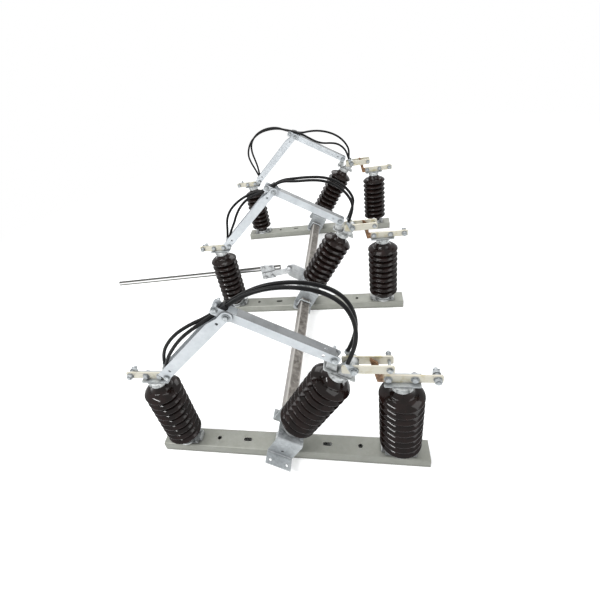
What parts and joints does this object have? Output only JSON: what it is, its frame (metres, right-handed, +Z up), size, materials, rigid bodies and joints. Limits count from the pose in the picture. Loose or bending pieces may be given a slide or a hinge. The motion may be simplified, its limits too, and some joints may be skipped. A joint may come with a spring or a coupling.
{
  "type": "substation disconnect switch",
  "caption": "Outdoor high-voltage disconnect switch: tilting centre insulators on a square shaft open the contacts, with folding arms, jumper cables and a push-rod drive.",
  "frame": {"origin": "under the middle pole, midway between its fixing slots and below the tilting axis, on the plane that the base channels stand on", "axes": "+X along the base channels from the line terminal to the fixed contact, +Y from the front pole to the rear pole along the torque tube, +Z up"},
  "size_m": [2.1503, 2.386, 0.9768],
  "materials": {
    "galvanised_channel": "hot-dip galvanised, dull",
    "galvanised_steel": "hot-dip galvanised",
    "galvanised_arm": "hot-dip galvanised, bluish",
    "galvanised_casting": "hot-dip galvanised",
    "plated_bolts": "zinc plated",
    "brown_porcelain": "glossy brown glaze",
    "tinned_copper": "tin plated, dull",
    "black_rubber": "matt",
    "black_cable": "satin"
  },
  "bodies": {
    "base": {"base_channels": "galvanised_channel", "bearings": "galvanised_casting", "fixed_insulators": "brown_porcelain", "fixed_insulator_fittings": "galvanised_casting", "terminal_bars": "tinned_copper", "terminal_brackets": "galvanised_steel"},
    "tilting_shaft": {"tilt_brackets": "galvanised_steel", "tilting_insulators": "brown_porcelain", "tilting_insulator_fittings": "galvanised_casting", "contact_heads": "galvanised_casting", "moving_contacts": "tinned_copper", "contact_bolts": "plated_bolts", "torque_tubes": "galvanised_steel", "tube_clamps": "plated_bolts", "crank_lever": "galvanised_steel"},
    "drive_rod_body": {"drive_rod": "galvanised_steel", "rod_clamp": "galvanised_steel"},
    "front_lower_arm_body": {"front_lower_arm": "galvanised_arm", "front_lower_arm_bolts": "plated_bolts", "front_line_cables": "black_cable"},
    "front_upper_arm_body": {"front_upper_arm": "galvanised_arm", "front_upper_arm_bolts": "plated_bolts", "front_cable_grip": "black_rubber", "front_head_cables": "black_cable"},
    "middle_lower_arm_body": {"middle_lower_arm": "galvanised_arm", "middle_lower_arm_bolts": "plated_bolts", "middle_line_cables": "black_cable"},
    "middle_upper_arm_body": {"middle_upper_arm": "galvanised_arm", "middle_upper_arm_bolts": "plated_bolts", "middle_cable_grip": "black_rubber", "middle_head_cables": "black_cable"},
    "rear_lower_arm_body": {"rear_lower_arm": "galvanised_arm", "rear_lower_arm_bolts": "plated_bolts", "rear_line_cables": "black_cable"},
    "rear_upper_arm_body": {"rear_upper_arm": "galvanised_arm", "rear_upper_arm_bolts": "plated_bolts", "rear_cable_grip": "black_rubber", "rear_head_cables": "black_cable"}
  },
  "joints": [
    {"name": "tilt", "type": "hinge", "parent": "base", "child": "tilting_shaft", "pos_m": [0, 0, 0.103], "axis": [0, -1, 0], "range_deg": [0, 40]},
    {"name": "drive_rod_pivot", "type": "hinge", "parent": "tilting_shaft", "child": "drive_rod_body", "pos_m": [-0.11449, 0.15, 0.22171], "axis": [0, 1, 0], "range_deg": [0, 40.5]},
    {"name": "front_lower_arm_pivot", "type": "hinge", "parent": "base", "child": "front_lower_arm_body", "pos_m": [-0.431, -1.055, 0.538], "axis": [0, -1, 0], "range_deg": [0, 45], "deforming": ["front_line_cables"]},
    {"name": "front_upper_arm_pivot", "type": "hinge", "parent": "tilting_shaft", "child": "front_upper_arm_body", "pos_m": [0.272, -1.055, 0.636], "axis": [0, 1, 0], "range_deg": [0, 58], "deforming": ["front_head_cables"]},
    {"name": "middle_lower_arm_pivot", "type": "hinge", "parent": "base", "child": "middle_lower_arm_body", "pos_m": [-0.431, 0, 0.538], "axis": [0, -1, 0], "range_deg": [0, 45], "deforming": ["middle_line_cables"]},
    {"name": "middle_upper_arm_pivot", "type": "hinge", "parent": "tilting_shaft", "child": "middle_upper_arm_body", "pos_m": [0.272, 0, 0.636], "axis": [0, 1, 0], "range_deg": [0, 58], "deforming": ["middle_head_cables"]},
    {"name": "rear_lower_arm_pivot", "type": "hinge", "parent": "base", "child": "rear_lower_arm_body", "pos_m": [-0.431, 1.055, 0.538], "axis": [0, -1, 0], "range_deg": [0, 45], "deforming": ["rear_line_cables"]},
    {"name": "rear_upper_arm_pivot", "type": "hinge", "parent": "tilting_shaft", "child": "rear_upper_arm_body", "pos_m": [0.272, 1.055, 0.636], "axis": [0, 1, 0], "range_deg": [0, 58], "deforming": ["rear_head_cables"]}
  ],
  "couplings": [
    {"joint": "drive_rod_pivot", "follows": "tilt", "ratio": 1},
    {"joint": "front_lower_arm_pivot", "follows": "tilt", "ratio": 1.1195},
    {"joint": "front_upper_arm_pivot", "follows": "tilt", "ratio": 1.4469},
    {"joint": "middle_lower_arm_pivot", "follows": "tilt", "ratio": 1.1195},
    {"joint": "middle_upper_arm_pivot", "follows": "tilt", "ratio": 1.4469},
    {"joint": "rear_lower_arm_pivot", "follows": "tilt", "ratio": 1.1195},
    {"joint": "rear_upper_arm_pivot", "follows": "tilt", "ratio": 1.4469}
  ]
}
